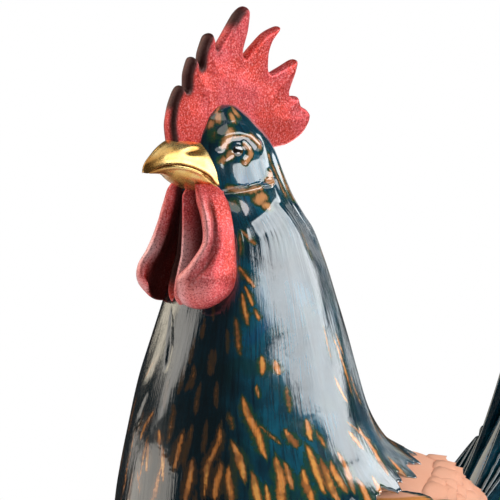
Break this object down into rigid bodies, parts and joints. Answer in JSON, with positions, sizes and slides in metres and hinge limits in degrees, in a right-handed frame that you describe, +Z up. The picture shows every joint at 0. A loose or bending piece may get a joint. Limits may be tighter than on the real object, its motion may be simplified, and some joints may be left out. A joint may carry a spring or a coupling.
{
  "type": "rooster figurine",
  "caption": "Standing porcelain rooster with red lustre comb and wattles, gilded beak, glossy dark hackles, peach body and arched tail on a low rocky base.",
  "frame": {"origin": "centre of the base's flat underside", "axes": "+Z up from the ground to the comb; the bird faces -Y, and +X is its left side"},
  "size_m": [0.1373, 0.3505, 0.46],
  "materials": {
    "stone_bisque": "matt bisque",
    "dark_glaze": "glossy teal glaze with amber streaks",
    "matt_peach": "matt peach bisque",
    "red_lustre": "fine-grained red lustre",
    "gilding": "burnished gilding on porcelain",
    "eye_glaze": "glossy dark brown glaze"
  },
  "bodies": {
    "root": {"base": "stone_bisque", "trunk": "matt_peach", "neck_and_head": "dark_glaze", "comb": "red_lustre", "upper_beak": "gilding", "lower_beak": "gilding", "chin_fold": "red_lustre", "tail_fan": "dark_glaze", "left_wattle": "red_lustre", "left_eye": "eye_glaze", "left_wing": "matt_peach", "left_thigh": "matt_peach", "left_shank": "gilding", "left_foot": "gilding", "left_sickle_1": "dark_glaze", "left_sickle_2": "dark_glaze", "left_sickle_3": "dark_glaze", "left_sickle_4": "dark_glaze", "right_wattle": "red_lustre", "right_eye": "eye_glaze", "right_wing": "matt_peach", "right_thigh": "matt_peach", "right_shank": "gilding", "right_foot": "gilding", "right_sickle_1": "dark_glaze", "right_sickle_2": "dark_glaze", "right_sickle_3": "dark_glaze", "right_sickle_4": "dark_glaze"}
  },
  "joints": []
}
